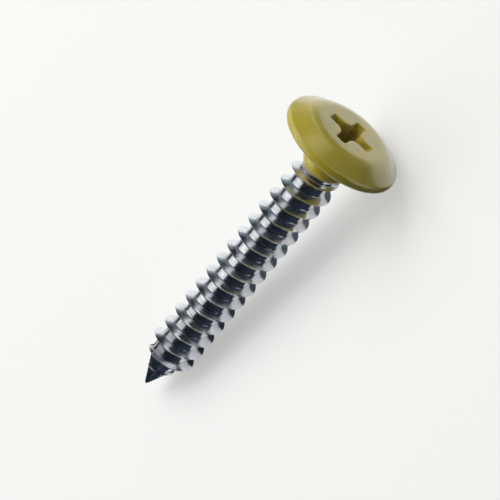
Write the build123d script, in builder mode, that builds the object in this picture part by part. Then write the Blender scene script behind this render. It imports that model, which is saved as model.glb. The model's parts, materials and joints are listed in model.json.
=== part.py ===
from build123d import *
from math import asin, atan2, ceil, cos, degrees, hypot, radians, sin, tan
import os

os.makedirs("parts", exist_ok=True)

# Flange head self-tapping screw, nominal 4.8 x 32, formed as one piece of steel.
# It is modelled upright first, with the end of its point at the origin and its head up,
# and is then laid down. Lengths are in millimetres and angles in degrees.

# Shank
shank_length = 31.6            # from the end of the point to the bearing face of the flange
core_diameter = 3.36           # at the bottom of the thread
neck_diameter = 4.4            # plain neck between thread and head
neck_length = 2.3              # of the plain neck, down from the bearing face
neck_taper_angle = 33.0        # of the taper from core to neck, to the axis
underhead_flare = 0.38         # the neck widens by this much where it meets the bearing face
point_angle = 45.0             # full angle of the gimlet point
point_end_diameter = 0.2       # the point is slightly blunt

# Thread
thread_diameter = 4.8
thread_pitch = 1.722
thread_angle = 60.0            # full angle between the two flanks, which meet in a sharp crest
root_depth = 0.3               # the ridge's foot lies this far inside the core
fade_height = 1.2              # above the end of the point, where the ridge leaves the cone
fade_depth = 0.05              # its first crest lies this far inside the cone
fade_root_depth = 0.2          # and its foot this far
full_thread_height = 4.45      # above the end of the point, where the ridge is full
runout_drop = 3.95             # below the bearing face, where the ridge starts to sink
runout_length = 1.55           # it sinks into the neck over this length
runout_depth = 0.25            # its last crest lies this far inside the neck

# Head
flange_diameter = 11.5
rim_thickness = 0.8            # of the flange's edge, before its corners are rounded
rim_bevel_height = 0.35        # underneath, the edge is bevelled up to this height
rim_bevel_angle = 30.0         # of that bevel, to the axis
rim_round = 0.48               # on both corners of the flange's edge
head_height = 1.95             # from the bearing face to the edge of the crown
slope_width = 1.83             # of the flange's slope, from its edge in to the crown
crown_round = 1.5              # soft shoulder there
crown_rise = 0.04              # the crown is slightly domed

# Cross recess, type H size 2
recess_span = 4.6              # across the ends of two opposite wings, at the crown
recess_foot_span = 2.29        # the same at the foot of the wings
recess_wing_angle = 26.5       # of each wing's end to the axis
recess_wing_width = 1.12       # of a wing at the crown, where it leaves the middle
recess_wing_narrowing = 1.0    # each side of a wing turns in by this angle towards its end
recess_side_draft = 4.0        # the wings' sides close in towards the bottom
recess_corner_round = 0.8      # on the head's four corners between the wings
recess_bottom_angle = 140.0    # full angle of the cone at the bottom
recess_turn = 30.5             # of the wings about the axis, from the side that lies down

thread_radius = thread_diameter / 2
core_radius = core_diameter / 2
neck_radius = neck_diameter / 2
flange_radius = flange_diameter / 2
crown_radius = flange_radius - slope_width
crown_edge = shank_length + head_height
crown_top = crown_edge + crown_rise

# The point's cone: its sharp apex would lie below the blunt end
point_half_angle = radians(point_angle / 2)
point_end_radius = point_end_diameter / 2
point_apex = -point_end_radius / tan(point_half_angle)
point_top = point_apex + core_radius / tan(point_half_angle)

# The neck's taper, from the core up to the full neck
neck_bottom = shank_length - neck_length
taper_length = (neck_radius - core_radius) / tan(radians(neck_taper_angle))
taper_bottom = neck_bottom - taper_length

# The flange's edge: its bevel, and the middle of its lower round
rim_bevel_width = rim_bevel_height * tan(radians(rim_bevel_angle))
rim_round_height = shank_length + rim_bevel_height + rim_round * tan(radians(rim_bevel_angle / 2))


def corner(sketch, radius, height):
    """The sketch's vertex at this distance from the axis and this height."""
    return sketch.vertices().sort_by_distance((radius, height, 0))[0]


# Head and shank, without thread or recess: half of the section, turned about the axis
with BuildPart() as blank:
    with BuildSketch(Plane.XZ) as half_section:
        with BuildLine():
            Polyline(
                (0, 0),
                (point_end_radius, 0),
                (core_radius, point_top),
                (core_radius, taper_bottom),
                (neck_radius, neck_bottom),
                (neck_radius, shank_length - underhead_flare),
                (neck_radius + underhead_flare, shank_length),
                (flange_radius - rim_bevel_width, shank_length),
                (flange_radius, shank_length + rim_bevel_height),
                (flange_radius, shank_length + rim_thickness),
                (crown_radius, crown_edge),
            )
            TangentArc((0, crown_top), (crown_radius, crown_edge), tangent=(1, 0))
            Line((0, crown_top), (0, 0))
        make_face()
        fillet(
            [
                corner(half_section, flange_radius, shank_length + rim_bevel_height),
                corner(half_section, flange_radius, shank_length + rim_thickness),
            ],
            radius=rim_round,
        )
        fillet(corner(half_section, crown_radius, crown_edge), radius=crown_round)
    revolve(axis=Axis.Z)


# The thread's ridge has one crest line and two foot lines inside the core. Each line is a
# helix, straight or conical, between two stations on the screw's length.
flank_slope = tan(radians(thread_angle / 2))


def ridge_section(height, crest_radius, foot_radius):
    """The ridge's three corners at its crest's height, as (height, radius), lowest first."""
    half_foot = (crest_radius - foot_radius) * flank_slope
    return (
        (height - half_foot, foot_radius),
        (height, crest_radius),
        (height + half_foot, foot_radius),
    )


def ridge_line(start, end, start_turn, end_turn):
    """A right-hand helix from one corner of the ridge to the same corner further up."""
    rise = end[0] - start[0]
    cone_angle = degrees(atan2(end[1] - start[1], rise))
    slant_pitch = rise / cos(radians(cone_angle)) / (end_turn - start_turn)
    line = Helix(slant_pitch, rise, start[1], (0, 0, start[0]), cone_angle=cone_angle)
    return line.edge().rotate(Axis.Z, 360 * start_turn)


point_radius_at_fade = (fade_height - point_apex) * tan(point_half_angle)
stations = [
    (fade_height, point_radius_at_fade - fade_depth, point_radius_at_fade - fade_root_depth),
    (full_thread_height, thread_radius, core_radius - root_depth),
    (shank_length - runout_drop, thread_radius, core_radius - root_depth),
    (
        shank_length - runout_drop + runout_length,
        neck_radius - runout_depth,
        core_radius - root_depth,
    ),
]

ridge_faces = []
for lower, upper in zip(stations, stations[1:]):
    lower_turn = (lower[0] - fade_height) / thread_pitch
    upper_turn = (upper[0] - fade_height) / thread_pitch
    lines = [
        ridge_line(start, end, lower_turn, upper_turn)
        for start, end in zip(ridge_section(*lower), ridge_section(*upper))
    ]
    for line, next_line in zip(lines, lines[1:] + lines[:1]):
        ridge_faces.append(Face.make_surface_from_curves(line, next_line))

for station in (stations[0], stations[-1]):
    turn = (station[0] - fade_height) / thread_pitch
    with BuildSketch(Plane.XZ) as end_section:
        with BuildLine():
            Polyline(*[(radius, height) for height, radius in ridge_section(*station)], close=True)
        make_face()
    ridge_faces.append(end_section.sketch.face().rotate(Axis.Z, 360 * turn))

ridge = Solid(Shell(ridge_faces))

# Recess cutter: a tapered cross that is trimmed by the cone of the wings' ends
wing_depth = (recess_span - recess_foot_span) / 2 / tan(radians(recess_wing_angle))
bottom_depth = recess_foot_span / 2 / tan(radians(recess_bottom_angle / 2))
with BuildPart() as recess:
    with BuildSketch(Plane.XY.offset(crown_top)) as cross:
        with PolarLocations(0, 4):
            Trapezoid(
                recess_wing_width,
                recess_span / 2,
                90 - recess_wing_narrowing,
                align=(Align.CENTER, Align.MIN),
            )
        fillet(cross.vertices().sort_by_distance((0, 0, 0))[:4], radius=recess_corner_round)
    extrude(amount=-(wing_depth + bottom_depth), taper=recess_side_draft)
    with BuildSketch(Plane.XZ) as half_cone:
        Polygon(
            (0, crown_top - wing_depth - bottom_depth),
            (recess_foot_span / 2, crown_top - wing_depth),
            (recess_span / 2, crown_top),
            (0, crown_top),
            align=None,
        )
    revolve(axis=Axis.Z, mode=Mode.INTERSECT)

# The screw as formed, upright
with BuildPart() as upright:
    add(blank.part)
    add(ridge)
    add(recess.part.rotate(Axis.Z, recess_turn), mode=Mode.SUBTRACT)


# Lying on a flat surface, the screw touches it with the lower round of its rim and with the
# crest that the line from the rim meets first. The thread starts on the side that lies down,
# so its crests cross that side at every whole pitch above the start.
def crest_radius(height):
    """The crest's distance from the axis at this height, straight between the stations."""
    for lower, upper in zip(stations, stations[1:]):
        if height <= upper[0]:
            share = (height - lower[0]) / (upper[0] - lower[0])
            return lower[1] + share * (upper[1] - lower[1])


def lean_on_crest(height):
    """Angle between axis and surface if the screw lay on its rim and on this crest."""
    along = rim_round_height - height
    out = flange_radius - rim_round - crest_radius(height)
    return atan2(out, along) + asin(rim_round / hypot(along, out))


fade_turns = ceil((full_thread_height - fade_height) / thread_pitch)
crossings = [fade_height + turn * thread_pitch for turn in range(fade_turns + 2)]
lean = min(lean_on_crest(height) for height in crossings)
leaning = Plane((0, 0, 0), x_dir=(sin(lean), 0, -cos(lean)), z_dir=(cos(lean), 0, sin(lean)))
extent = upright.part.moved(leaning.location).bounding_box()

# The finished screw, with the middle of its box above the origin and its head towards +X
lying = Plane(
    (-extent.center().X, 0, -extent.min.Z), x_dir=leaning.x_dir, z_dir=leaning.z_dir
)
with BuildPart(lying) as screw:
    add(upright.part)
screw.part.label = "screw"
export_step(screw.part, "parts/screw.step")
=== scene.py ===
import json
from math import asin, cos, pi, radians, sin, tan

import bpy
import numpy as np
from mathutils import Matrix, Vector


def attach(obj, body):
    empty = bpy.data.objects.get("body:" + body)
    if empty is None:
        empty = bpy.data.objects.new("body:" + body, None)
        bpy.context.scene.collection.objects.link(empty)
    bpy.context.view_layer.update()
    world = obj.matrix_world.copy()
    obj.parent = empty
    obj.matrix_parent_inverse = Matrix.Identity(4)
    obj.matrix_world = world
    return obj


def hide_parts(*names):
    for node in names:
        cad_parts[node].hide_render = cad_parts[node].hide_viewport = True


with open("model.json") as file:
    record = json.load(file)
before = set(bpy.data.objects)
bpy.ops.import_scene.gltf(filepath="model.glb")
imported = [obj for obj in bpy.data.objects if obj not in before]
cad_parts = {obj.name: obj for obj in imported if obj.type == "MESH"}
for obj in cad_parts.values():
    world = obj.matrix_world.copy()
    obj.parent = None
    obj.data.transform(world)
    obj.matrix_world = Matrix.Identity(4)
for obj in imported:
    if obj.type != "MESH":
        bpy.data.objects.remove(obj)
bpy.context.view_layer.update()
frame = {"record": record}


# The screw: cold-headed from one piece of steel wire, with a cross recess pressed into the
# crown and a rolled self-tapping thread that ends in a gimlet point. Head and neck are
# painted. Its lengths are in millimetres, and its heights are from the end of the point.
shank_length = 31.6  # up to the bearing face of the flange
point_end_radius = 0.1
point_half_angle = radians(22.5)
point_apex = -0.241  # where the point's cone would end if it were sharp
core_radius = 1.68
core_round = 0.06  # of the corner between cone and core
neck_radius = 2.2
neck_taper = (28.3, 29.5)  # the core widens into the neck between these heights
thread_radius = 2.3995
thread_pitch = 1.722
flank_slope = tan(radians(60))  # radius that each flank loses along the axis
crest_round = 0.014
root_round = 0.05
first_crossing = 1.2  # a crest crosses the side that lies down at this height
ridge_heights = [0.9, first_crossing, 4.45, 27.65, 29.2]
ridge_radii = [0.36, 0.547, thread_radius, thread_radius, 1.95]
neck_top = 30.3  # where the head's round begins
flange_radius = 5.749
flange_edge = 0.8
rim_round = 0.48
underhead_round = 0.55
shoulder_radius = 3.92  # where the flange's slope would meet the flat of the crown
shoulder_height = 33.55
shoulder_round = 2.6
crown_height = 33.59
crown_flat_height = 33.56
crown_flat_radius = 2.95
paint_thickness = 0.02
paint_lip = 0.02  # part of the painted neck over which the paint reaches its thickness
paint_edge = 28.85  # on the neck, where it is tilted to one side and has two small waves
paint_tilt = 0.3
paint_tilt_side = radians(130)
paint_long_wave = 0.05
paint_short_wave = 0.02
columns = 128  # of the mesh, round the screw

turn_part = np.arange(columns) / columns


def step_between(low, high, x):
    """0 below low, 1 above high, and between them three times the square of the share less
    twice its cube."""
    share = np.clip((x - low) / (high - low), 0.0, 1.0)
    return share * share * (3.0 - 2.0 * share)


def larger_of(a, b, width):
    """The larger of a and b. Where they differ by less than the width, a quarter of the width
    times the square of the missing share is added, which rounds the corner."""
    overlap = np.maximum(width - np.abs(a - b), 0.0) / width
    return np.maximum(a, b) + overlap * overlap * width / 4.0


def core_at(height):
    """Radius without the ridge: the height above the apex times the tangent of the point's
    half angle, up to the core, which widens smoothly into the neck."""
    cone = (height - point_apex) * tan(point_half_angle)
    straight = core_radius + (neck_radius - core_radius) * step_between(*neck_taper, height)
    return -larger_of(-cone, -straight, core_round)


def shank_radius(height, part):
    """Radius at a height and a part of a turn: the larger of core and ridge. The ridge has its
    crest's radius less the flank slope times the distance from the crest along the axis."""
    phase = (height - first_crossing) / thread_pitch - part
    along = (phase - np.round(phase)) * thread_pitch
    crest = np.interp(height, ridge_heights, ridge_radii)
    blunted = np.sqrt(along * along + crest_round * crest_round) - crest_round
    return larger_of(core_at(height), crest - blunted * flank_slope, root_round)


def ring_points(heights, radii):
    """Points of rings about the axis, as radius times cosine, radius times sine, and height,
    with one ring for each row."""
    heights, radii, angle = np.broadcast_arrays(heights, radii, 2 * pi * turn_part)
    return np.stack([radii * np.cos(angle), radii * np.sin(angle), heights], axis=-1)


def arc_between(corner, before, after, radius, steps):
    """Points of an arc of this radius that touches both lines from the corner. Its middle
    lies on the line that halves the corner, the radius over the half angle's sine away."""
    corner = np.array(corner)
    u = np.array(before) - corner
    v = np.array(after) - corner
    u = u / np.linalg.norm(u)
    v = v / np.linalg.norm(v)
    half = np.arccos(np.clip(u @ v, -1, 1)) / 2
    middle = corner + (u + v) / np.linalg.norm(u + v) * radius / sin(half)
    first = corner + u * radius / tan(half) - middle
    last = corner + v * radius / tan(half) - middle
    sweep = pi - 2 * half
    share = np.linspace(0, 1, steps)[:, None]
    turned = np.sin((1 - share) * sweep) * first + np.sin(share * sweep) * last
    return middle + turned / sin(sweep)


# The height of the paint's edge round the neck: its mean height, less a cosine of one turn,
# plus a sine with three waves in a turn and one with seven
paint_line = (
    paint_edge
    - paint_tilt * np.cos(2 * pi * turn_part - paint_tilt_side)
    + paint_long_wave * np.sin(3 * 2 * pi * turn_part + 1.0)
    + paint_short_wave * np.sin(7 * 2 * pi * turn_part)
)

# The thread's mesh climbs with the ridge: each row rises by one pitch in a turn, so the crest
# is one row and stays sharp. Rows are close at crest and root, here as shares of the pitch.
# A row that comes nearer than the least gap to either end of the thread is drawn onto it.
above_crest = np.array(
    [0.0, 0.008, 0.018, 0.032, 0.055, 0.09, 0.13, 0.17, 0.2, 0.22, 0.24, 0.262, 0.29, 0.34, 0.42]
)
row_shares = np.concatenate([[-0.5], -above_crest[:0:-1], above_crest])
rows_per_pitch = len(row_shares)
pitches = np.arange(-2, 18)
thread_bottom = 1.0
least_gap = 0.006
row_heights = first_crossing + thread_pitch * (pitches[:, None] + row_shares).ravel()
climb = row_heights[:, None] + thread_pitch * turn_part
at_bottom = climb < thread_bottom + least_gap
at_top = climb > paint_line - least_gap
thread_heights = np.where(at_bottom, thread_bottom, np.where(at_top, paint_line, climb))
thread = ring_points(thread_heights, shank_radius(thread_heights, turn_part))

# Below the thread: the point's end, which is part of a ball, and its cone
first_end_ring = 0.18  # angle between the axis and the first ring, seen from the ball's middle
cone_start = 0.12
end_angles = np.linspace(first_end_ring, pi / 2 - point_half_angle, 6)
cone_heights = np.linspace(cone_start, thread_bottom, 12)[1:-1]
lower_heights = np.concatenate([point_end_radius * (1 - np.cos(end_angles)), cone_heights])
lower_radii = np.concatenate([point_end_radius * np.sin(end_angles), core_at(cone_heights)])
lower = ring_points(lower_heights[:, None], lower_radii[:, None])

# From the paint's edge over the run-out of the thread to the plain neck
neck_share = np.concatenate([[0.3 * paint_lip], np.linspace(paint_lip, 1.0, 34)])[:, None]
neck_heights = paint_line + (neck_top - paint_line) * neck_share
neck_coat = paint_thickness * step_between(0.0, paint_lip, neck_share)
neck = ring_points(neck_heights, shank_radius(neck_heights, turn_part) + neck_coat)

# The flange, from under the head to the flat of the crown: a profile of radius and height,
# turned about the axis. Arcs round its corners, with a few rings between them.
neck_end = (neck_radius + paint_thickness, neck_top)
underhead_corner = (neck_radius + paint_thickness, shank_length)
rim_low = (flange_radius, shank_length)
rim_high = (flange_radius, shank_length + flange_edge)
shoulder = (shoulder_radius, shoulder_height)
underhead_arc = arc_between(underhead_corner, neck_end, rim_low, underhead_round, 9)
rim_low_arc = arc_between(rim_low, underhead_corner, rim_high, rim_round, 12)
rim_high_arc = arc_between(rim_high, rim_low, shoulder, rim_round, 10)
shoulder_arc = arc_between(shoulder, rim_high, (0.0, crown_height), shoulder_round, 16)
underside = [(3.4, shank_length), (4.0, shank_length), (4.6, shank_length), (5.0, shank_length)]
slope_share = np.array([0.432, 0.636, 0.789])[:, None]
slope = rim_high_arc[-1] + (shoulder_arc[0] - rim_high_arc[-1]) * slope_share
crown_edge = [(3.07, 33.559), (crown_flat_radius, crown_flat_height)]
flange_profile = np.concatenate(
    [underhead_arc, underside, rim_low_arc, rim_high_arc, slope, shoulder_arc, crown_edge]
)
flange = ring_points(flange_profile[:, 1:2], flange_profile[:, 0:1])

# The cross recess. Its radii are from the axis, at the crown and at the feet of the wings.
recess_turn = radians(30.5)
wing_end = 2.3
wing_foot = 1.145
wing_half_width = 0.56
wing_narrowing = tan(radians(1.0))
side_draft = tan(radians(4.0))
end_slope = tan(radians(26.5))
foot_slope = tan(radians(20.0))
inner_corner = 0.8
end_corner = 0.16
mouth_round = 0.13


def recess_outline(end, half_width, corner_radius):
    """The cross outline as complex numbers, one row for each end radius, with as many columns
    as the rings. Half a wing is an arc about the axis, a parabola at its end's corner, a
    straight side that leans in by the narrowing, and the arc between two wings. It is mirrored
    on the line halfway between two wings and turned four times."""
    end, half_width, corner_radius = (
        np.array(values, float)[:, None] for values in (end, half_width, corner_radius)
    )
    slant = np.sqrt(1 + wing_narrowing * wing_narrowing)
    reach = np.arcsin(half_width / end / slant) - np.arctan(wing_narrowing)
    centre = (half_width + corner_radius * slant) / (1 + wing_narrowing)
    start_angle = np.arctan2(-1.0, -wing_narrowing)
    turn = (-3 * pi / 4 - start_angle) * np.linspace(0, 1, 6)
    inner_arc = centre * (1 + 1j) + corner_radius * np.exp(1j * (start_angle + turn))
    corner = end * np.exp(1j * reach)
    before = end * np.exp(1j * (reach - end_corner / end))
    side = inner_arc[:, :1] - corner
    after = corner + side * end_corner / np.abs(side)
    share = np.linspace(0, 1, 6)
    bend = (1 - share) ** 2 * before + 2 * share * (1 - share) * corner + share**2 * after
    straight = after + (inner_arc[:, :1] - after) * np.arange(1, 4) / 4
    half = np.concatenate([end, end * np.exp(0.5j * reach), bend, straight, inner_arc], axis=1)
    quarter = np.concatenate([half, 1j * half.conj()[:, -2:0:-1]], axis=1)
    whole = np.concatenate([quarter * 1j**k for k in range(4)], axis=1)
    return whole * np.exp(1j * recess_turn)


# The mouth's rounded edge, the walls down to the feet of the wings, and the coned bottom.
# Rows are close above and below the crease at the feet, so that it shades as a sharp one.
mouth_angle = np.linspace(0, pi / 2, 6)
mouth_out = mouth_round * (1 - np.sin(mouth_angle))
mouth_down = mouth_round * (1 - np.cos(mouth_angle))
foot_depth = (wing_end - wing_foot) / end_slope
wall_depth = np.linspace(mouth_round, foot_depth - 0.06, 10)[1:]
wall_depth = np.concatenate([wall_depth, foot_depth - np.array([0.03, 0.01, 0.0])])
cross = recess_outline(
    np.concatenate([wing_end + mouth_out, wing_end - wall_depth * end_slope]),
    np.concatenate([wing_half_width + mouth_out, wing_half_width - wall_depth * side_draft]),
    np.concatenate([inner_corner - mouth_out, inner_corner + 0 * wall_depth]),
)

# The outline starts at a wing's middle, and the rings start at the side that lies down. Round
# the mouth the crown is flat, and below the feet the outline shrinks to the axis.
cross = np.roll(cross, round(recess_turn / (2 * pi) * columns), axis=1)
flat_ring = crown_flat_radius * np.exp(2j * pi * turn_part)
flat_share = np.array([0.2, 0.42, 0.63, 0.82])[:, None]
flat = flat_ring * (1 - flat_share) + cross[:1] * flat_share
bottom_share = np.array([0.99, 0.96, 0.9, 0.75, 0.5, 0.25])[:, None]
bottom = cross[-1:] * bottom_share
bottom_depth = foot_depth + (np.abs(cross[-1:]).max() - np.abs(bottom)) * foot_slope
cross_depth = np.concatenate([mouth_down, wall_depth])[:, None] + 0 * cross.real
plan = np.concatenate([flat, cross, bottom])
plan_depth = np.concatenate([0 * flat.real, cross_depth, bottom_depth])
crown = np.stack([plan.real, plan.imag, crown_flat_height - plan_depth], axis=-1)

# All points in one list: the low pole, the rings up to the thread, the thread, the rings from
# the paint's edge up and into the recess, and the high pole at the bottom of the recess
low_pole = [[0.0, 0.0, 0.0]]
low_ring = ring_points(thread_bottom, shank_radius(thread_bottom, turn_part))[None]
paint_ring = ring_points(paint_line, shank_radius(paint_line, turn_part))[None]
high_pole = [[0.0, 0.0, crown_flat_height - foot_depth - wing_foot * foot_slope]]
upper = np.concatenate([neck, flange, crown])
groups = [low_pole, lower, low_ring, thread, paint_ring, upper, high_pole]
groups = [np.reshape(group, (-1, 3)) for group in groups]
starts = np.cumsum([0] + [len(group) for group in groups])
points = np.concatenate(groups)


def closed_rows(start, rows):
    """Point numbers of whole rings from this number on, with the first column again as the
    last: start plus row times columns plus column."""
    index = start + np.arange(rows * columns).reshape(rows, columns)
    return np.concatenate([index, index[:, :1]], axis=1)


def ring_faces(index):
    """Two triangles for each cell between neighbouring rows of point numbers, so that rows
    that go up and columns that go round anticlockwise give faces that look outwards."""
    a, b = index[:-1, :-1], index[:-1, 1:]
    d, c = index[1:, :-1], index[1:, 1:]
    lower_half = np.stack([a, b, c], -1).reshape(-1, 3)
    upper_half = np.stack([a, c, d], -1).reshape(-1, 3)
    return np.concatenate([lower_half, upper_half])


# The thread's rows share the points of the rings at both its ends. Past the last column, a row
# goes on as the row that lies one pitch higher.
low_rows = closed_rows(starts[1], len(lower) + 1)
high_rows = closed_rows(starts[4], len(upper) + 1)
thread_rows = starts[3] + np.arange(thread_heights.size).reshape(thread_heights.shape)
thread_rows = np.where(at_bottom, low_rows[-1, :-1], thread_rows)
thread_rows = np.where(at_top, high_rows[0, :-1], thread_rows)
next_pitch = np.minimum(np.arange(len(thread_rows)) + rows_per_pitch, len(thread_rows) - 1)
thread_rows = np.concatenate([thread_rows, thread_rows[next_pitch, :1]], axis=1)
low_fan = np.stack([np.full(columns + 1, starts[0]), low_rows[0]])
high_fan = np.stack([high_rows[-1], np.full(columns + 1, starts[6])])
steel_faces = np.concatenate([ring_faces(rows) for rows in (low_fan, low_rows, thread_rows)])
paint_faces = np.concatenate([ring_faces(rows) for rows in (high_rows, high_fan)])
faces = np.concatenate([steel_faces, paint_faces])
painted = np.arange(len(faces)) >= len(steel_faces)

# Faces that have shrunk to a line go, and so do points that no face uses
whole = (faces != np.roll(faces, 1, axis=1)).all(axis=1)
used, faces = np.unique(faces[whole], return_inverse=True)
faces = faces.reshape(-1, 3)

# The screw lies as the CAD model does: its axis is that of the record's recess mount, which
# sits on the crown's middle. The first column is the side that lies down.
mount = {each["name"]: each for each in frame["record"]["mounts"]}["drive_recess"]
axis = np.array(mount["axis"], float)
axis /= np.linalg.norm(axis)
lean = asin(axis[2])
down = np.array([axis[2], 0.0, -axis[0]])
side = np.array([0.0, 1.0, 0.0])
millimetre = 0.001
tip = np.array(mount["pos_m"], float) - axis * crown_height * millimetre
points = tip + millimetre * (points[used] @ np.stack([down, side, axis]))

mesh = bpy.data.meshes.new("screw_surface")
mesh.from_pydata(points, [], faces)
mesh.polygons.foreach_set("material_index", painted[whole].astype(np.int32))
mesh.polygons.foreach_set("use_smooth", np.ones(len(faces), bool))
mesh.update()
screw = bpy.data.objects.new("painted_screw", mesh)
bpy.context.scene.collection.objects.link(screw)


def linear(hex_colour):
    """An sRGB hex value as linear red, green, blue and alpha: the value over 12.92 near black,
    and else the value plus 0.055, over 1.055, to the power 2.4."""
    srgb = np.array([int(hex_colour[k : k + 2], 16) / 255 for k in (1, 3, 5)])
    value = np.where(srgb <= 0.04045, srgb / 12.92, ((srgb + 0.055) / 1.055) ** 2.4)
    return (*value.tolist(), 1.0)


def set_inputs(material, node, inputs):
    """Gives the node's inputs, by name or by number, their values or their links."""
    for key, value in inputs.items():
        if isinstance(value, bpy.types.NodeSocket):
            material.node_tree.links.new(value, node.inputs[key])
        else:
            node.inputs[key].default_value = value


def add_node(material, kind, settings, inputs):
    """A node of this kind, with its settings and its inputs."""
    node = material.node_tree.nodes.new(kind)
    for name, value in settings.items():
        setattr(node, name, value)
    set_inputs(material, node, inputs)
    return node


# Bright zinc plating over rolled steel: a near mirror with a cool tint. It is thin, so the
# rings that the thread dies leave show through, and it is duller down at the roots.
# The rings are about 0.05 mm apart, too fine to show, so they are drawn 0.2 mm apart.
ring_spacing = 0.2 * millimetre
ring_length = 3.0 * millimetre
film_size = 1.2 * millimetre
steel = bpy.data.materials.new("bright_zinc_plated_steel")
steel.use_nodes = True
steel_place = add_node(
    steel,
    "ShaderNodeMapping",
    {"vector_type": "TEXTURE"},
    {
        "Vector": add_node(steel, "ShaderNodeTexCoord", {}, {}).outputs["Object"],
        "Location": tip.tolist(),
        "Rotation": (0.0, -lean, 0.0),
    },
).outputs["Vector"]
steel_across = add_node(
    steel, "ShaderNodeVectorMath", {"operation": "MULTIPLY"}, {0: steel_place, 1: (0, 1, 1)}
).outputs["Vector"]
steel_radius = add_node(
    steel, "ShaderNodeVectorMath", {"operation": "LENGTH"}, {0: steel_across}
).outputs["Value"]
root_share = add_node(
    steel,
    "ShaderNodeMapRange",
    {},
    {"Value": steel_radius, "From Min": 2.25 * millimetre, "From Max": 1.8 * millimetre},
).outputs[0]
ring_place = add_node(
    steel,
    "ShaderNodeMapping",
    {},
    {"Vector": steel_place, "Scale": (1 / ring_spacing, 1 / ring_length, 1 / ring_length)},
).outputs["Vector"]
rings = add_node(
    steel,
    "ShaderNodeTexNoise",
    {},
    {"Vector": ring_place, "Scale": 1.0, "Detail": 3.0, "Roughness": 0.6},
).outputs[0]
film = add_node(
    steel,
    "ShaderNodeTexNoise",
    {},
    {"Vector": steel_place, "Scale": 1 / film_size, "Detail": 3.0, "Roughness": 0.6},
).outputs[0]
film_share = add_node(
    steel, "ShaderNodeMapRange", {}, {"Value": film, "From Min": 0.35, "From Max": 0.6}
).outputs[0]
dull_share = add_node(
    steel, "ShaderNodeMath", {"operation": "MULTIPLY"}, {0: root_share, 1: film_share}
).outputs[0]
steel_colour = add_node(
    steel,
    "ShaderNodeMix",
    {"data_type": "RGBA"},
    {0: dull_share, 6: linear("#eff3fa"), 7: linear("#dcdee2")},
).outputs[2]
steel_roughness = add_node(
    steel,
    "ShaderNodeMapRange",
    {},
    {"Value": rings, "From Min": 0.35, "From Max": 0.65, "To Min": 0.15, "To Max": 0.25},
).outputs[0]
steel_normal = add_node(
    steel,
    "ShaderNodeBump",
    {},
    {"Strength": 1.0, "Distance": 0.011 * millimetre, "Height": rings},
).outputs[0]
set_inputs(
    steel,
    steel.node_tree.nodes["Principled BSDF"],
    {
        "Metallic": 1.0,
        "Base Color": steel_colour,
        "Roughness": steel_roughness,
        "Normal": steel_normal,
    },
)
mesh.materials.append(steel)

# Olive-yellow enamel, sprayed thinly and baked: a clear gloss over a slightly cloudy colour,
# with the ripple of 0.3 mm that spray dries to. Near the axis, from just under the crown down
# and inside the wings' ends, painted shade makes the colour darker and browner in the recess.
cloud_size = 2.2 * millimetre
ripple_size = 0.3 * millimetre
paint = bpy.data.materials.new("olive_yellow_enamel")
paint.use_nodes = True
paint_place = add_node(
    paint,
    "ShaderNodeMapping",
    {"vector_type": "TEXTURE"},
    {
        "Vector": add_node(paint, "ShaderNodeTexCoord", {}, {}).outputs["Object"],
        "Location": tip.tolist(),
        "Rotation": (0.0, -lean, 0.0),
    },
).outputs["Vector"]
paint_height = add_node(paint, "ShaderNodeSeparateXYZ", {}, {"Vector": paint_place}).outputs["X"]
paint_across = add_node(
    paint, "ShaderNodeVectorMath", {"operation": "MULTIPLY"}, {0: paint_place, 1: (0, 1, 1)}
).outputs["Vector"]
paint_radius = add_node(
    paint, "ShaderNodeVectorMath", {"operation": "LENGTH"}, {0: paint_across}
).outputs["Value"]
near_axis = add_node(
    paint,
    "ShaderNodeMapRange",
    {},
    {"Value": paint_radius, "From Min": 2.15 * millimetre, "From Max": 1.9 * millimetre},
).outputs[0]
below_crown = add_node(
    paint,
    "ShaderNodeMapRange",
    {},
    {
        "Value": paint_height,
        "From Min": 33.45 * millimetre,
        "From Max": 32.4 * millimetre,
        "To Max": 0.55,
    },
).outputs[0]
# Painted shade: how far the colour turns to the dark brown, more near the axis and deeper below
# the crown
recess_shade_share = add_node(
    paint, "ShaderNodeMath", {"operation": "MULTIPLY"}, {0: near_axis, 1: below_crown}
).outputs[0]
clouds = add_node(
    paint,
    "ShaderNodeTexNoise",
    {},
    {"Vector": paint_place, "Scale": 1 / cloud_size, "Detail": 3.0, "Roughness": 0.6},
).outputs[0]
cloud_share = add_node(
    paint, "ShaderNodeMapRange", {}, {"Value": clouds, "From Min": 0.35, "From Max": 0.65}
).outputs[0]
cloud_colour = add_node(
    paint,
    "ShaderNodeMix",
    {"data_type": "RGBA"},
    {0: cloud_share, 6: linear("#b0a427"), 7: linear("#c0ac2d")},
).outputs[2]
# The cloudy colour, with painted shade mixed in towards the dark brown inside the recess
paint_colour = add_node(
    paint,
    "ShaderNodeMix",
    {"data_type": "RGBA"},
    {0: recess_shade_share, 6: cloud_colour, 7: linear("#8a651c")},
).outputs[2]
ripple = add_node(
    paint,
    "ShaderNodeTexNoise",
    {},
    {"Vector": paint_place, "Scale": 1 / ripple_size, "Detail": 2.0, "Roughness": 0.5},
).outputs[0]
paint_roughness = add_node(
    paint,
    "ShaderNodeMapRange",
    {},
    {"Value": ripple, "From Min": 0.35, "From Max": 0.65, "To Min": 0.31, "To Max": 0.4},
).outputs[0]
paint_normal = add_node(
    paint,
    "ShaderNodeBump",
    {},
    {"Strength": 0.6, "Distance": 0.005 * millimetre, "Height": ripple},
).outputs[0]
set_inputs(
    paint,
    paint.node_tree.nodes["Principled BSDF"],
    {
        "Base Color": paint_colour,
        "Roughness": paint_roughness,
        "Normal": paint_normal,
        "Coat Weight": 1.0,
        "Coat Roughness": 0.2,
        "Coat IOR": 1.6,
        "Sheen Weight": 0.4,
        "Sheen Roughness": 0.4,
    },
)
mesh.materials.append(paint)

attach(screw, "root")
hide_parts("screw")


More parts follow.
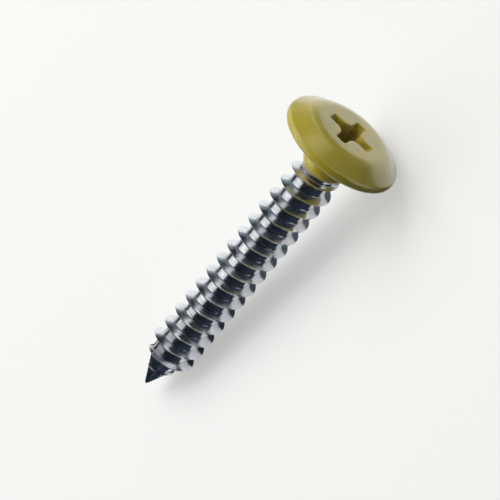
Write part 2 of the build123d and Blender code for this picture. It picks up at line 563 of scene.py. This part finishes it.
# The floor: plain, matt and pale, and wide enough to fill the picture. Half of what the camera
# and the reflections see of it is its own glow, so that it stays pale and keeps the shadow.
floor_mesh = bpy.data.meshes.new("floor")
floor_mesh.from_pydata([(-3, -3, 0), (3, -3, 0), (3, 3, 0), (-3, 3, 0)], [], [(0, 1, 2, 3)])
floor = bpy.data.objects.new("floor", floor_mesh)
bpy.context.scene.collection.objects.link(floor)
floor_white = bpy.data.materials.new("matt_white_floor")
floor_white.use_nodes = True
floor_path = add_node(floor_white, "ShaderNodeLightPath", {}, {}).outputs
floor_seen = add_node(
    floor_white,
    "ShaderNodeMath",
    {"operation": "MAXIMUM"},
    {0: floor_path["Is Camera Ray"], 1: floor_path["Is Glossy Ray"]},
).outputs[0]
floor_shade = add_node(
    floor_white,
    "ShaderNodeMix",
    {"data_type": "RGBA"},
    {0: floor_seen, 6: linear("#949492"), 7: linear("#b0b0ae")},
).outputs[2]
floor_glow = add_node(
    floor_white, "ShaderNodeMath", {"operation": "MULTIPLY"}, {0: floor_seen, 1: 0.5}
).outputs[0]
set_inputs(
    floor_white,
    floor_white.node_tree.nodes["Principled BSDF"],
    {
        "Base Color": floor_shade,
        "Roughness": 1.0,
        "Specular IOR Level": 0.0,
        "Emission Color": linear("#f2f2f0"),
        "Emission Strength": floor_glow,
    },
)
floor_mesh.materials.append(floor_white)


def direction_to(azimuth, elevation):
    """The direction at this azimuth, in degrees from +X towards +Y, and this elevation: cosine
    of azimuth times cosine of elevation, sine times cosine, and sine of elevation."""
    turn, rise = radians(azimuth), radians(elevation)
    return Vector((cos(turn) * cos(rise), sin(turn) * cos(rise), sin(rise)))


# The camera looks at the lying screw as the photo does, from 46 degrees above the floor. Its
# roll brings the head to the upper right.
camera_aim = Vector((0.00107821, 0.00007218, 0.00445503))
camera_roll = radians(-73.1918)
camera_distance = 0.291395
camera_data = bpy.data.cameras.new("camera")
camera_data.lens = 232.92
camera_data.sensor_width = 36.0
camera_data.clip_start = 0.01
camera = bpy.data.objects.new("camera", camera_data)
bpy.context.scene.collection.objects.link(camera)
backwards = direction_to(-54.2251, 46.2756)
level_right = Vector((0, 0, 1)).cross(backwards).normalized()
level_up = backwards.cross(level_right)
right = level_right * cos(camera_roll) + level_up * sin(camera_roll)
upwards = level_up * cos(camera_roll) - level_right * sin(camera_roll)
camera_turn = Matrix((right, upwards, backwards)).transposed().to_4x4()
camera.matrix_world = Matrix.Translation(camera_aim + backwards * camera_distance) @ camera_turn
bpy.context.scene.camera = camera


# The lamps: large softboxes round the screw. Two of them make the soft light, of which the
# key lamp is kept out of reflections, and a faint one makes the bright streak on the steel.
lamp_distance = 1.5


def softbox(name, azimuth, elevation, size, power):
    """A rectangular lamp that faces the screw from this azimuth and elevation."""
    data = bpy.data.lights.new(name, "AREA")
    data.shape = "RECTANGLE"
    data.size, data.size_y = size
    data.energy = power
    lamp = bpy.data.objects.new(name, data)
    direction = direction_to(azimuth, elevation)
    look = direction.to_track_quat("Z", "Y").to_matrix().to_4x4()
    lamp.matrix_world = Matrix.Translation(direction * lamp_distance) @ look
    bpy.context.scene.collection.objects.link(lamp)
    return lamp


softbox("head_softbox", 75, 55, (1.35, 1.2), 19.5)
key_lamp = softbox("key_softbox", 158, 47, (1.8, 1.6), 10.0)
key_lamp.visible_glossy = False
softbox("streak_softbox", 150, 47, (0.6, 1.5), 0.5)


# Cards round the screw and on the floor, which only its reflections show. They give the steel
# the dark bands that polished metal has in a pale room, and the crown its pale side.
def card_material(name, colour, glow):
    """A matt card of this colour, or a black one that glows in it."""
    material = bpy.data.materials.new(name)
    material.use_nodes = True
    set_inputs(
        material,
        material.node_tree.nodes["Principled BSDF"],
        {
            "Base Color": linear("#000000" if glow else colour),
            "Roughness": 1.0,
            "Specular IOR Level": 0.0,
            "Emission Color": linear(colour),
            "Emission Strength": glow,
        },
    )
    return material


def card(name, corner_points, faces, material):
    """A sheet that neither the camera nor any lamp meets."""
    card_mesh = bpy.data.meshes.new(name)
    card_mesh.from_pydata(corner_points, [], faces)
    card_mesh.materials.append(material)
    sheet = bpy.data.objects.new(name, card_mesh)
    sheet.visible_camera = False
    sheet.visible_diffuse = False
    sheet.visible_shadow = False
    bpy.context.scene.collection.objects.link(sheet)
    return sheet


def curved_card(name, first_angle, last_angle, first_x, last_x, radius, material):
    """A sheet bent round the screw, between two angles from straight up, in degrees towards
    +Y: its points are radius times sine across and radius times cosine up."""
    steps = 13
    angle = np.radians(np.linspace(first_angle, last_angle, steps))
    across, up = radius * np.sin(angle), radius * np.cos(angle)
    low = np.stack([np.full(steps, first_x), across, up], axis=-1)
    high = low + [last_x - first_x, 0, 0]
    strips = [(k, k + 1, k + steps + 1, k + steps) for k in range(steps - 1)]
    return card(name, np.concatenate([low, high]), strips, material)


def upright_card(name, start, end, height, material):
    """A flat sheet that stands on the floor between two places."""
    corners = [(*start, 0), (*end, 0), (*end, height), (*start, height)]
    card(name, corners, [(0, 1, 2, 3)], material)


def floor_card(name, height, outline, material):
    """A flat sheet at this height above the floor. Height and outline are in millimetres."""
    corners = [(x * millimetre, y * millimetre, height * millimetre) for x, y in outline]
    card(name, corners, [tuple(range(len(corners)))], material)


low_card = 0.05  # height of the cards on the floor, and of those that cross others there
high_card = 0.1
black = card_material("black_card", "#2a313d", 0.0)
grey = card_material("grey_card", "#6c737c", 0.0)
brown = card_material("brown_card", "#5a4426", 0.0)
white = card_material("white_card", "#f8f8f6", 1.0)

# The front card also keeps soft light off the head's near side
front_card = curved_card("dark_card_front", -95.0, -7.0, -0.5, 0.45, 0.3, black)
front_card.visible_diffuse = True
curved_card("dark_card_back", 57.0, 88.0, -0.35, -0.02, 0.3, black)
curved_card("grey_card_top", -7.0, 65.0, -0.16, 0.45, 0.3, grey)
curved_card("dark_card_tip", -30.0, 55.0, -0.2, -0.046, 0.05, black)
upright_card("dark_card_head", (0.3, -0.08), (0.3, 0.04), 0.13, black)
upright_card("dark_card_point", (-0.3, -0.2), (-0.3, 0.3), 0.1, black)
upright_card("dark_card_far", (0.26, 0.13), (0.07, 0.29), 0.1, black)
floor_card(
    "dark_card_crown",
    low_card,
    [(22.9, -6), (30, -12), (300, -80), (300, 50), (26, 24)],
    black,
)
floor_card(
    "dark_card_point_floor",
    low_card,
    [(-300, -4.5), (-17.5, -4.5), (-16.5, 3), (-12, 8), (-300, 250)],
    black,
)
floor_card(
    "dark_card_floor",
    low_card,
    [(-200, -300), (50, -300), (16.5, -4.5), (-200, -4.5)],
    black,
)
floor_card(
    "grey_card_under",
    low_card,
    [(-17, -1.7), (13.5, -1.7), (13.5, 2), (-17, 2)],
    grey,
)
floor_card(
    "grey_card_floor",
    low_card,
    [(20, 26), (260, 130), (70, 290), (-40, 100), (-30, 26)],
    grey,
)
floor_card(
    "brown_card_floor",
    high_card,
    [(16.8, -6.2), (80, -6.2), (80, -9.5), (17.2, -9.5)],
    brown,
)
floor_card(
    "white_card_floor",
    high_card,
    [(16.2, -5.8), (22.2, -5.8), (22.2, 4), (22.8, 12), (16.2, 12)],
    white,
)


# The room: the camera and the reflections see it pale, and it lights the screw softly from
# all sides. Nothing in it is brighter than white.
room = bpy.data.worlds.new("pale_room")
room.use_nodes = True
room_path = add_node(room, "ShaderNodeLightPath", {}, {}).outputs
room_seen = add_node(
    room,
    "ShaderNodeMath",
    {"operation": "MAXIMUM"},
    {0: room_path["Is Camera Ray"], 1: room_path["Is Glossy Ray"]},
).outputs[0]
room_shade = add_node(
    room,
    "ShaderNodeMix",
    {"data_type": "RGBA"},
    {0: room_seen, 6: (0.5, 0.5, 0.5, 1.0), 7: linear("#f4f4f2")},
).outputs[2]
set_inputs(room, room.node_tree.nodes["Background"], {"Color": room_shade})
bpy.context.scene.world = room
bpy.context.scene.view_settings.view_transform = "Standard"
